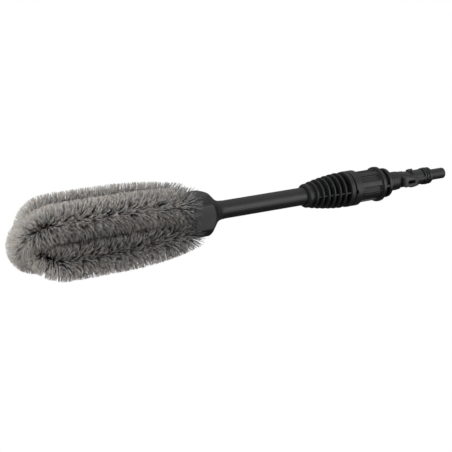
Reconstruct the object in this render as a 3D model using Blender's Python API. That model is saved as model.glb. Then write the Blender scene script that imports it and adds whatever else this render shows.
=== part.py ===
"""Water-fed wheel rim brush, built as an assembly of separate pieces.

The brush lies along X: bristle nose at -X, bayonet inlet at +X, +Z up.
Two twisted-wire brush loops cross at the nose. Their four legs are held in
a hub on a tube, with a spray nozzle between them. The tube ends in a ribbed
grip. A fluted union nut draws the bayonet adapter onto the grip's end, and
the adapter swivels on two O-rings.

Every size below is in millimetres. The origin is under the middle of the
brush, on the surface that it lies on.
"""
import math

import bmesh
import bpy
from mathutils import Vector

MM = 0.001
GAP = 0.3  # between neighbouring pieces

# Overall: both ends are this far from the middle.
HALF_LENGTH = 260.4

# Brush loops: legs run at 45 degrees to the table, so four rows are a quarter turn apart.
OUTER_LOOP_TURN = 45.0
INNER_LOOP_TURN = 135.0
ROW_RADIUS = 26.5  # wire leg to brush axis, along the rows
ROW_RADIUS_AT_HUB = 16.4
ROW_SPREAD_LENGTH = 110.0  # the legs lean out to ROW_RADIUS over this length
ROW_FLARE = 3.0  # how much of that leaning is next to the hub
OUTER_APEX_X = -242.2
INNER_APEX_X = -234.4
BRISTLE_RADIUS = 19.5
BRISTLE_RADIUS_AT_HUB = 19.0
BRISTLE_REACH_AT_NOSE = HALF_LENGTH + OUTER_APEX_X
BRISTLE_START_X = -76.0
NOSE_INWARD_REACH = 4.0  # the outer loop's bristles end short of the inner loop's wire
CORE_RADIUS = 4.0  # free space round the brush axis
WIRE_RADIUS = 1.6
WIRE_END_X = -56.0

# Hub: a round bar with four flats.
HUB_FLAT = 21.0  # axis to flat
HUB_CORNER_TURN = 30.0  # half of the angle that a flat spans
HUB_ARC_STEPS = 4  # facets between two flats
HUB_FRONT_X = -71.4
HUB_SPLIT_X = -68.4  # cap meets shell
HUB_FLOOR_X = -52.0  # bottom of the shell's front pocket
HUB_POCKET_FLAT = 18.0
HUB_CHAMFER_SLOPE = 1.0
HUB_REAR_X = -24.4
CAP_PLUG_X = -65.0
CAP_SCREW_RADIUS_FROM_AXIS = 13.8
SCREW_SHANK_RADIUS = 1.4
SCREW_HEAD_RADIUS = 2.7
SCREW_HEAD_HEIGHT = 1.8
SCREW_DEPTH = 6.0  # into the shell behind the pocket's floor
FERRULE_RADIUS = 2.6

# Spray nozzle: a jet in front of a flange that the cap holds down
NOZZLE_TIP_X = -75.4
NOZZLE_JET_RADIUS = 1.0
NOZZLE_BODY_RADIUS = 5.5
NOZZLE_FLANGE_RADIUS = 8.6
NOZZLE_FLANGE_REAR_X = -63.0
NOZZLE_GROOVE_X = -60.0
NOZZLE_GROOVE_LENGTH = 2.6
NOZZLE_REAR_X = -52.5

# Shaft tube
SHAFT_RADIUS = 9.2
SHAFT_BORE = 7.2
SHAFT_FRONT_X = -62.4
SHAFT_REAR_X = 112.0
CLIP_RADIUS = 10.9  # outside of the open clip that keeps the tube in the hub

# Ribbed grip
GRIP_FRONT_X = 75.6
GRIP_COLLAR_X = 124.6
GRIP_REAR_X = 129.8
GRIP_NOSE_RADIUS = 12.0
GRIP_COLLAR_RADIUS = 18.8
GRIP_FLARE = 1.85
GRIP_CORE_RADIUS = 10.9
FIN_COUNT = 6
FIN_FIRST_X = 84.6
FIN_PITCH = 6.6
FIN_THICKNESS = 1.8
WEB_TURN = 3.0
STUB_RADIUS = 14.0
STUB_END_X = 146.0
SOCKET_RADIUS = 8.6
SOCKET_FLOOR_X = 131.0

# Union nut
NUT_FRONT_X = 131.1
NUT_REAR_X = 181.0
NUT_BAND_END_X = 139.2
NUT_BAND_RADIUS = 18.6
NUT_BODY_RADIUS = 16.3
NUT_FLUTE_DEPTH = 1.2
NUT_FLUTES = 8
NUT_FLUTE_HALF_TURN = 13.2
NUT_FLUTE_FIRST_TURN = -3.5
NUT_FLUTE_FRONT_X = 142.0
NUT_FLUTE_REAR_X = 165.6
NUT_NOTCH_END_X = 133.0
NUT_FLANGE_X = 166.6
NUT_FLANGE_RADIUS = 18.3
NUT_GROOVE_X = 170.5
NUT_GROOVE_RADIUS = 12.0
NUT_TAIL_X = 177.0
NUT_TAIL_RADIUS = 15.4
NUT_BORE = 10.4
NUT_THREAD_RADIUS = 14.35
NUT_KEY_TURN = 6.0  # half of the angle of the nut's notch and tooth

# Bayonet adapter
ADAPTER_FRONT_X = 133.0
ADAPTER_SPIGOT_RADIUS = 8.3
ADAPTER_FLANGE_X = 148.2
ADAPTER_FLANGE_RADIUS = 13.6
ADAPTER_FLANGE_THICKNESS = 3.6
STEM_RADIUS = 10.0
STEM_END_X = 197.2
NECK_RADIUS = 8.2
NECK_END_X = 228.6
INLET_COLLAR_RADIUS = 8.9
INLET_COLLAR_FRONT_X = 230.3
INLET_COLLAR_REAR_X = 239.6
INLET_GROOVE_FRONT_X = 232.1
INLET_GROOVE_REAR_X = 236.7
INLET_GROOVE_RADIUS = 6.6
INLET_SHOULDER_X = 242.7
INLET_SHOULDER_RADIUS = 6.8
INLET_RADIUS = 5.8
INLET_BORE = 2.5
SWIVEL_CHAMBER_RADIUS = 4.4
LUG_X = 198.1
LUG_LENGTH = 17.0
LUG_HALF_WIDTH = 5.15
LUG_RADIUS = 14.8
LUG_WINDOW_LENGTH = 9.4
LUG_WINDOW_HEIGHT = 3.6
LUG_WINDOW_FLOOR = 7.0
LUG_RECESS_X = 196.0
RIB_END_X = 231.0
RIB_HALF_WIDTH = 1.8
RIB_RADIUS = 9.2
POCKET_X = 210.6
POCKET_LENGTH = 5.2
POCKET_TURN = 75.0
KEY_X = 213.9
KEY_LENGTH = 5.5
KEY_TURN = 113.0
WASHER_THICKNESS = 1.4

COARSE, MEDIUM, FINE = 16, 24, 28  # facets round a turned piece


# ---------------------------------------------------------------- tools

def material(name, colour, roughness, metallic=0.0):
    """A Principled material with one colour."""
    made = bpy.data.materials.new(name)
    made.use_nodes = True
    shader = made.node_tree.nodes["Principled BSDF"]
    shader.inputs["Base Color"].default_value = (*colour, 1.0)
    shader.inputs["Roughness"].default_value = roughness
    shader.inputs["Metallic"].default_value = metallic
    made.diffuse_color = (*colour, 1.0)
    return made


def put_in_scene(name, bm, look=None, smooth=True):
    """Turns a bmesh in millimetres into an object on the brush's axis."""
    bmesh.ops.recalc_face_normals(bm, faces=bm.faces)
    bmesh.ops.scale(bm, vec=Vector((MM, MM, MM)), verts=bm.verts)
    mesh = bpy.data.meshes.new(name)
    bm.to_mesh(mesh)
    bm.free()
    if smooth:
        mesh.shade_smooth()
        mesh.set_sharp_from_angle(angle=math.radians(35))
    made = bpy.data.objects.new(name, mesh)
    bpy.context.collection.objects.link(made)
    made.parent = brush_axis
    if look:
        mesh.materials.append(look)
    return made


def boolean(target, other, operation):
    """Adds an exact Boolean to target, and makes other a hidden guide."""
    modifier = target.modifiers.new(f"{operation.lower()} {other.name}", "BOOLEAN")
    modifier.operation = operation
    modifier.solver = "EXACT"
    modifier.object = other
    other.hide_render = True
    other.display_type = "WIRE"


def polar(x, radius, turn):
    """The point at this station and radius; turn 0 faces -Y, 90 faces up."""
    angle = math.radians(turn)
    return Vector((x, -radius * math.cos(angle), radius * math.sin(angle)))


def even_turns(count):
    return [360.0 * k / count for k in range(count)]


def bridge_rings(bm, rings, closed):
    """Quads between rings of the same length, from the last to the first too if closed."""
    pairs = list(zip(rings, rings[1:]))
    if closed:
        pairs.append((rings[-1], rings[0]))
    for one, two in pairs:
        for k in range(len(one)):
            n = (k + 1) % len(one)
            corners = [one[k], one[n], two[n], two[k]]
            distinct = [c for i, c in enumerate(corners) if c not in corners[:i]]
            if len(distinct) > 2:
                bm.faces.new(distinct)


def turned(name, outline, look=None, turns=MEDIUM, reshape=None, sweep=None):
    """A closed outline of (x, radius) turned about the brush's axis.

    reshape(index, x, radius, turn) may move an outline point at one turn.
    sweep is (first, last, steps) in degrees for an open ring.
    """
    bm = bmesh.new()
    if sweep:
        first, last, steps = sweep
        angles = [first + (last - first) * k / steps for k in range(steps + 1)]
    else:
        angles = even_turns(turns) if isinstance(turns, int) else turns
    rings = []
    for turn in angles:
        ring = []
        for index, (x, radius) in enumerate(outline):
            if reshape:
                x, radius = reshape(index, x, radius, turn)
            ring.append(bm.verts.new(polar(x, radius, turn)))
        rings.append(ring)
    bridge_rings(bm, rings, closed=not sweep)
    if sweep:
        bm.faces.new(rings[0])
        bm.faces.new(rings[-1])
    return put_in_scene(name, bm, look)


def pin(name, outline, centre_radius, turn, look=None, sides=8):
    """A solid turned piece parallel to the axis. The outline starts and ends on its own axis."""
    bm = bmesh.new()
    centre = polar(0.0, centre_radius, turn)
    rings = []
    for angle in even_turns(sides):
        rings.append([bm.verts.new(centre + polar(x, r, angle)) for x, r in outline])
    for k, ring in enumerate(rings):
        following = rings[(k + 1) % sides]
        for i in range(len(ring) - 1):
            bm.faces.new([ring[i], ring[i + 1], following[i + 1], following[i]])
    bmesh.ops.remove_doubles(bm, verts=bm.verts, dist=1e-4)
    return put_in_scene(name, bm, look)


def prism(name, section, x_from, x_to, look=None):
    """A section of (y, z) points extruded along X."""
    bm = bmesh.new()
    ends = [[bm.verts.new((x, y, z)) for y, z in section] for x in (x_from, x_to)]
    bridge_rings(bm, ends, closed=False)
    for end in ends:
        bm.faces.new(end)
    return put_in_scene(name, bm, look, smooth=False)


def swept(name, sections, look=None):
    """A skin over a list of sections with flat ends."""
    bm = bmesh.new()
    rings = [[bm.verts.new(point) for point in section] for section in sections]
    bridge_rings(bm, rings, closed=False)
    bm.faces.new(rings[0])
    bm.faces.new(rings[-1])
    return put_in_scene(name, bm, look)


def flatted_round(flat):
    """Corners of a round section with four flats."""
    corner_radius = flat / math.cos(math.radians(HUB_CORNER_TURN))
    arc = 90.0 - 2 * HUB_CORNER_TURN
    section = []
    for middle in (0.0, 90.0, 180.0, 270.0):
        for k in range(HUB_ARC_STEPS + 1):
            point = polar(0.0, corner_radius, middle + HUB_CORNER_TURN + arc * k / HUB_ARC_STEPS)
            section.append((point.y, point.z))
    return section


def four_turns(start):
    return [start + 90.0 * k for k in range(4)]


# ---------------------------------------------------------------- brush loops

def nearness_to_hub(x):
    """1 at the hub's front, and 0 where the legs have spread fully."""
    return 1.0 - min(max((HUB_FRONT_X - x) / ROW_SPREAD_LENGTH, 0.0), 1.0)


def leg_radius(x):
    """How far a loop's leg is from the axis at this station."""
    return ROW_RADIUS - (ROW_RADIUS - ROW_RADIUS_AT_HUB) * nearness_to_hub(x) ** ROW_FLARE


def loop_route(apex_x, end_x):
    """Points (x, r, nx, nr, nose) along one loop; n points away from the loop's inside.

    nose goes from 0 on the legs to 1 at the apex.
    """
    bend_x = apex_x + ROW_RADIUS
    spread_x = HUB_FRONT_X - ROW_SPREAD_LENGTH
    stations = [bend_x, (bend_x + spread_x) / 2]
    leg_steps = 6
    for k in range(leg_steps, -1, -1):  # closer together towards the hub
        stations.append(BRISTLE_START_X + (spread_x - BRISTLE_START_X) * (k / leg_steps) ** 1.5)
    if end_x > HUB_FRONT_X:
        stations.append(HUB_FRONT_X)
    if end_x > BRISTLE_START_X:
        stations.append(end_x)
    leg = [(x, leg_radius(x), 0.0, 1.0, 0.0) for x in stations]
    bend = []
    bend_steps = 12
    for k in range(1, bend_steps):
        angle = math.pi * k / bend_steps
        bend.append((
            bend_x - ROW_RADIUS * math.sin(angle), ROW_RADIUS * math.cos(angle),
            -math.sin(angle), math.cos(angle), math.sin(angle),
        ))
    back = [(x, -r, nx, -nr, nose) for x, r, nx, nr, nose in leg]
    return leg[::-1] + bend + back


def loop_space(turn, x, r, aside):
    """A point given in the loop's plane, and its distance aside from that plane."""
    across = polar(0.0, 1.0, turn)
    return Vector((x, 0, 0)) + r * across + aside * Vector((1, 0, 0)).cross(across)


def wire_sections(apex_x, turn, radius, end_x, sides):
    sections = []
    for x, r, nx, nr, _ in loop_route(apex_x, end_x):
        ring = []
        for angle in even_turns(sides):
            out = radius * math.cos(math.radians(angle + 180 / sides))
            aside = radius * math.sin(math.radians(angle + 180 / sides))
            ring.append(loop_space(turn, x + out * nx, r + out * nr, aside))
        sections.append(ring)
    return sections


def bristle_sections(apex_x, turn, outermost, grow=0.0, only_nose=False):
    """Sections of a loop's bristle body, each row kept inside its own quarter.

    The outermost loop takes the whole nose: there its sections leave their
    quarter, and end short of the inner loop's apex.
    """
    sides = 16
    sections = []
    for x, r, nx, nr, nose in loop_route(apex_x, BRISTLE_START_X):
        if only_nose and nose == 0.0 and x > apex_x + ROW_RADIUS + 1.0:
            continue
        reach = BRISTLE_RADIUS + (BRISTLE_RADIUS_AT_HUB - BRISTLE_RADIUS) * nearness_to_hub(x)
        forward = reach + (BRISTLE_REACH_AT_NOSE - reach) * nose
        inward = reach
        if outermost:
            inward = reach + (NOSE_INWARD_REACH - reach) * nose
        side = 1.0 if r > 0 else -1.0
        ring = []
        for angle in even_turns(sides):
            cosine = math.cos(math.radians(angle))
            out = cosine * ((forward if cosine > 0 else inward) + grow)
            aside = math.sin(math.radians(angle)) * (reach + grow)
            radius = r + out * nr
            if nose < 0.5:
                radius = side * max(radius * side, CORE_RADIUS - grow)
            limit = max(abs(radius), CORE_RADIUS) - 0.8 * GAP + grow
            if outermost:
                limit = max(limit, reach * math.sqrt(nose) + grow)
            aside = min(max(aside, -limit), limit)
            ring.append(loop_space(turn, x + out * nx, radius, aside))
        sections.append(ring)
    return sections


def brush_loop(label, apex_x, turn, outermost, wire_look, bristle_look):
    swept(f"wire_{label}_loop", wire_sections(apex_x, turn, WIRE_RADIUS, WIRE_END_X, 6), wire_look)
    bristles = swept(
        f"bristles_{label}_loop", bristle_sections(apex_x, turn, outermost), bristle_look)
    tunnel = swept(
        f"guide_tunnel_{label}",
        wire_sections(apex_x, turn, WIRE_RADIUS + GAP, BRISTLE_START_X + 5, 6))
    if not outermost:
        nose = swept(
            "guide_nose_room",
            bristle_sections(OUTER_APEX_X, OUTER_LOOP_TURN, True, grow=2.5 * GAP, only_nose=True))
        boolean(bristles, nose, "DIFFERENCE")
    boolean(bristles, tunnel, "DIFFERENCE")


# ---------------------------------------------------------------- hub

def hub(shell_look, inner_look, metal_look):
    neck_x, neck_radius, clear_radius = -35.4, 13.0, 30.0
    chamfer_x = neck_x - (clear_radius - neck_radius) / HUB_CHAMFER_SLOPE
    shell = turned("hub_shell", [
        (HUB_SPLIT_X + GAP, SHAFT_RADIUS + GAP), (HUB_SPLIT_X + GAP, clear_radius),
        (chamfer_x, clear_radius), (neck_x, neck_radius), (-33.4, 11.7), (-30.4, 10.6),
        (HUB_REAR_X, SHAFT_RADIUS + 0.7), (HUB_REAR_X, SHAFT_RADIUS + GAP),
    ], shell_look, FINE)
    outside = prism("guide_hub_outside", flatted_round(HUB_FLAT), HUB_FRONT_X, 0.0)
    boolean(shell, outside, "INTERSECT")
    pocket = prism(
        "guide_hub_pocket", flatted_round(HUB_POCKET_FLAT), HUB_FRONT_X, HUB_FLOOR_X)
    boolean(shell, pocket, "DIFFERENCE")

    cap = prism("hub_front_cap", flatted_round(HUB_FLAT), HUB_FRONT_X, HUB_SPLIT_X, shell_look)
    plug = prism(
        "guide_cap_plug", flatted_round(HUB_POCKET_FLAT - GAP), HUB_SPLIT_X - 1, CAP_PLUG_X)
    boolean(cap, plug, "UNION")

    block = prism(
        "wire_clamp_block", flatted_round(HUB_POCKET_FLAT - GAP),
        CAP_PLUG_X + 2.6, HUB_FLOOR_X - GAP, inner_look)
    clip_room = solid_rod(
        "guide_clip_room", CLIP_RADIUS + 0.5, CAP_PLUG_X, HUB_FLOOR_X + 5, 0.0, 0.0, MEDIUM)
    boolean(block, clip_room, "DIFFERENCE")
    nozzle_hole = solid_rod(
        "guide_nozzle_hole", NOZZLE_BODY_RADIUS + 0.4, HUB_FRONT_X - 5, CAP_PLUG_X + 5, 0.0, 0.0,
        COARSE)
    boolean(cap, nozzle_hole, "DIFFERENCE")
    for number, turn in enumerate(four_turns(45.0), 1):
        wire_hole = solid_rod(
            f"guide_wire_hole_{number}", WIRE_RADIUS + 2 * GAP, HUB_FRONT_X - 5, CAP_PLUG_X + 2,
            ROW_RADIUS_AT_HUB, turn, 12)
        boolean(cap, wire_hole, "DIFFERENCE")
        ferrule_hole = solid_rod(
            f"guide_ferrule_hole_{number}", FERRULE_RADIUS + GAP, CAP_PLUG_X, HUB_FLOOR_X + 2,
            ROW_RADIUS_AT_HUB, turn, 12)
        boolean(block, ferrule_hole, "DIFFERENCE")
        ferrule(f"wire_ferrule_{number}", turn, metal_look)

    shank, head = SCREW_SHANK_RADIUS, SCREW_HEAD_RADIUS
    front = HUB_FRONT_X - GAP
    top = front - SCREW_HEAD_HEIGHT
    for number, turn in enumerate(four_turns(0.0), 1):
        for target, label in ((cap, "cap"), (block, "block"), (shell, "floor")):
            screw_hole = solid_rod(
                f"guide_{label}_screw_hole_{number}", shank + GAP,
                HUB_FRONT_X - 5, HUB_FLOOR_X + SCREW_DEPTH + 2 * GAP,
                CAP_SCREW_RADIUS_FROM_AXIS, turn, 8)
            boolean(target, screw_hole, "DIFFERENCE")
        pin(f"cap_screw_{number}", [
            (top + 1.0, 0.0), (top + 1.0, 1.2), (top, 1.2), (top, head - 0.3), (top + 0.4, head),
            (front, head), (front, shank), (HUB_FLOOR_X + SCREW_DEPTH - 0.8, shank),
            (HUB_FLOOR_X + SCREW_DEPTH, 0.0),
        ], CAP_SCREW_RADIUS_FROM_AXIS, turn, metal_look)


def solid_rod(name, radius, x_from, x_to, centre_radius, turn, sides):
    return pin(
        name, [(x_from, 0.0), (x_from, radius), (x_to, radius), (x_to, 0.0)],
        centre_radius, turn, sides=sides)


def ferrule(name, turn, look):
    """A crimped sleeve on the end of a wire leg, trapped behind the cap."""
    bm = bmesh.new()
    sides = 10
    centre = polar(0.0, ROW_RADIUS_AT_HUB, turn)
    bore = WIRE_RADIUS + 0.5 * GAP
    outline = [(CAP_PLUG_X + GAP, bore), (CAP_PLUG_X + GAP, FERRULE_RADIUS),
               (WIRE_END_X + 1, FERRULE_RADIUS), (WIRE_END_X + 1, bore)]
    rings = [[bm.verts.new(centre + polar(x, r, angle)) for x, r in outline]
             for angle in even_turns(sides)]
    bridge_rings(bm, rings, closed=True)
    put_in_scene(name, bm, look)


def nozzle(look, rubber_look):
    """The brass jet, with its flange behind the cap and its spigot in the tube."""
    spigot = SHAFT_BORE - 0.4
    body, flange, jet = NOZZLE_BODY_RADIUS, NOZZLE_FLANGE_RADIUS, NOZZLE_JET_RADIUS
    flange_front = CAP_PLUG_X + GAP
    groove_end = NOZZLE_GROOVE_X + NOZZLE_GROOVE_LENGTH
    turned("spray_nozzle", [
        (NOZZLE_TIP_X, jet), (NOZZLE_TIP_X, 3.0), (NOZZLE_TIP_X + 1.0, 4.6),
        (NOZZLE_TIP_X + 2.9, body), (flange_front, body), (flange_front, flange),
        (NOZZLE_FLANGE_REAR_X, flange), (NOZZLE_FLANGE_REAR_X, spigot),
        (NOZZLE_GROOVE_X, spigot), (NOZZLE_GROOVE_X, body), (groove_end, body),
        (groove_end, spigot), (NOZZLE_REAR_X, spigot), (NOZZLE_REAR_X, 4.0),
        (CAP_PLUG_X - 1.0, 2.5), (CAP_PLUG_X - 5.0, jet),
    ], look, COARSE)
    o_ring("nozzle_o_ring", (NOZZLE_GROOVE_X + groove_end) / 2, body + 0.2, spigot + 0.2,
           NOZZLE_GROOVE_LENGTH / 2 - 0.2, rubber_look, COARSE)


def o_ring(name, x, inner, outer, half_width, look, turns=20):
    """A ring with a rounded six-sided section."""
    middle = (inner + outer) / 2
    turned(name, [
        (x - half_width, middle), (x - half_width / 2, outer), (x + half_width / 2, outer),
        (x + half_width, middle), (x + half_width / 2, inner), (x - half_width / 2, inner),
    ], look, turns)


def flat_ring(name, x, inner, outer, thickness, look, turns=MEDIUM):
    turned(name, [
        (x, inner), (x, outer), (x + thickness, outer), (x + thickness, inner),
    ], look, turns)


# ---------------------------------------------------------------- shaft and grip

def shaft(look, metal_look):
    groove_x, groove_width, groove_radius = HUB_FLOOR_X - 1.6, 1.4, SHAFT_RADIUS - 0.8
    groove_end = groove_x + groove_width
    turned("shaft_tube", [
        (SHAFT_FRONT_X, SHAFT_BORE), (SHAFT_FRONT_X, SHAFT_RADIUS), (groove_x, SHAFT_RADIUS),
        (groove_x, groove_radius), (groove_end, groove_radius), (groove_end, SHAFT_RADIUS),
        (SHAFT_REAR_X, SHAFT_RADIUS), (SHAFT_REAR_X, SHAFT_BORE),
    ], look, MEDIUM)
    clip_x, clip_end, clip_bore = groove_x + 0.2, groove_end - 0.2, groove_radius + 0.2
    turned("shaft_retaining_clip", [
        (clip_x, clip_bore), (clip_x, CLIP_RADIUS), (clip_end, CLIP_RADIUS), (clip_end, clip_bore),
    ], metal_look, sweep=(-160.0, 160.0, 16))


def grip_radius(x):
    """The flared outline that the fins' rims follow."""
    along = (x - GRIP_FRONT_X) / (GRIP_REAR_X - GRIP_FRONT_X)
    return GRIP_COLLAR_RADIUS - (GRIP_COLLAR_RADIUS - GRIP_NOSE_RADIUS) * (1 - along) ** GRIP_FLARE


def grip(look):
    outline = [
        (GRIP_FRONT_X, SHAFT_RADIUS + GAP), (GRIP_FRONT_X, 11.4), (GRIP_FRONT_X + 0.9, 12.3),
        (GRIP_FRONT_X + 3.4, 12.4), (GRIP_FRONT_X + 4.4, GRIP_CORE_RADIUS),
    ]
    web_points = {}
    for number in range(FIN_COUNT):
        x = FIN_FIRST_X + FIN_PITCH * number
        radius = grip_radius(x)
        front, back = x - FIN_THICKNESS / 2, x + FIN_THICKNESS / 2
        web_points[len(outline)] = radius - 1.2
        outline += [(front, GRIP_CORE_RADIUS), (front, radius), (back, radius)]
        web_points[len(outline)] = radius - 1.2
        outline.append((back, GRIP_CORE_RADIUS))
    web_points[4] = web_points[5]
    web_points[len(outline)] = GRIP_COLLAR_RADIUS - 1.2
    web_points[len(outline) - 1] = GRIP_COLLAR_RADIUS - 1.2
    outline += [
        (GRIP_COLLAR_X, GRIP_CORE_RADIUS), (GRIP_COLLAR_X, GRIP_COLLAR_RADIUS - 0.4),
        (GRIP_REAR_X - 0.8, GRIP_COLLAR_RADIUS), (GRIP_REAR_X, GRIP_COLLAR_RADIUS - 0.6),
        (GRIP_REAR_X, STUB_RADIUS), (STUB_END_X, STUB_RADIUS), (STUB_END_X, SOCKET_RADIUS),
        (SOCKET_FLOOR_X, SOCKET_RADIUS), (SOCKET_FLOOR_X, 6.0),
        (SHAFT_REAR_X + 2.0, 6.0), (SHAFT_REAR_X + 2.0, SHAFT_RADIUS + GAP),
    ]

    def raise_webs(index, x, radius, turn):
        """The core rises to a thin web in every gap, front and back."""
        from_web = abs((turn + 90.0) % 180.0 - 90.0)
        if index in web_points and from_web <= WEB_TURN:
            return x, max(web_points[index], radius)
        return x, radius

    edge = WEB_TURN + 1.0
    turns = []
    for middle in (0.0, 180.0):
        turns += [middle - edge, middle - WEB_TURN, middle + WEB_TURN, middle + edge]
        turns += [middle + edge + (180.0 - 2 * edge) * k / 11 for k in range(1, 11)]
    turned("ribbed_grip", outline, look, turns, raise_webs)


# ---------------------------------------------------------------- union nut and adapter

def union_nut(look):
    step = 0.4
    outline = [
        (NUT_FRONT_X, NUT_THREAD_RADIUS), (NUT_FRONT_X, 18.1), (NUT_FRONT_X + 0.6, NUT_BAND_RADIUS),
        (NUT_NOTCH_END_X, NUT_BAND_RADIUS), (NUT_NOTCH_END_X + 0.2, NUT_BAND_RADIUS),
        (NUT_BAND_END_X, NUT_BAND_RADIUS), (NUT_BAND_END_X + 0.3, NUT_BODY_RADIUS),
        (NUT_FLUTE_FRONT_X, NUT_BODY_RADIUS), (NUT_FLUTE_FRONT_X + step, NUT_BODY_RADIUS),
        (NUT_FLUTE_REAR_X - step, NUT_BODY_RADIUS), (NUT_FLUTE_REAR_X, NUT_BODY_RADIUS),
        (NUT_FLANGE_X, NUT_BODY_RADIUS), (NUT_FLANGE_X + step, NUT_FLANGE_RADIUS),
        (NUT_GROOVE_X, NUT_FLANGE_RADIUS), (NUT_GROOVE_X, NUT_GROOVE_RADIUS),
        (NUT_TAIL_X, NUT_GROOVE_RADIUS), (NUT_TAIL_X, NUT_TAIL_RADIUS),
        (NUT_REAR_X, NUT_TAIL_RADIUS), (NUT_REAR_X, NUT_BORE),
        (slip_washer_x() + WASHER_THICKNESS + GAP, NUT_BORE),
        (slip_washer_x() + WASHER_THICKNESS + GAP, NUT_THREAD_RADIUS),
    ]
    notch, flute, tooth = (1, 2, 3), (8, 9), (14, 15)
    flute_floor = NUT_FLUTE_HALF_TURN - 1.5
    spacing = 360.0 / NUT_FLUTES

    def shape(index, x, radius, turn):
        from_key = abs((turn + 90.0) % 180.0 - 90.0)
        past_first = turn - NUT_FLUTE_FIRST_TURN
        from_flute = abs((past_first + spacing / 2) % spacing - spacing / 2)
        if index in notch and from_key <= NUT_KEY_TURN:
            return x, NUT_THREAD_RADIUS + 0.6
        if index in tooth and from_key <= NUT_KEY_TURN:
            return x, NUT_TAIL_RADIUS - 0.6
        if index in flute and from_flute <= flute_floor + 0.01:
            return x, radius - NUT_FLUTE_DEPTH
        return x, radius

    turns = []
    for number in range(NUT_FLUTES):
        middle = NUT_FLUTE_FIRST_TURN + spacing * number
        turns += [middle + mark for mark in (
            -NUT_FLUTE_HALF_TURN, -flute_floor, flute_floor, NUT_FLUTE_HALF_TURN, spacing / 2)]
    for middle in (0.0, 180.0):
        turns += [middle + mark for mark in (
            -NUT_KEY_TURN - 1.2, -NUT_KEY_TURN, NUT_KEY_TURN, NUT_KEY_TURN + 1.2)]
    turned("union_nut", outline, look, sorted(turn % 360.0 for turn in turns), shape)


def slip_washer_x():
    return ADAPTER_FLANGE_X + ADAPTER_FLANGE_THICKNESS + GAP


def lug_block(name, x_from, x_to, half_width, inner, outer, turn, ramp=0.0):
    """A block standing out of the axis at turn; ramp narrows its far half on the lower side."""
    bm = bmesh.new()
    across = polar(0.0, 1.0, turn)
    aside = Vector((1, 0, 0)).cross(across)
    middle = (x_from + x_to) / 2
    outline = [(x_from, -half_width), (middle, -half_width), (x_to, -half_width + ramp),
               (x_to, half_width), (x_from, half_width)]
    ends = []
    for radius in (inner, outer):
        ends.append([
            bm.verts.new(Vector((x, 0, 0)) + radius * across + width * aside)
            for x, width in outline
        ])
    bridge_rings(bm, ends, closed=False)
    for end in ends:
        bm.faces.new(end)
    return put_in_scene(name, bm, smooth=False)


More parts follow.
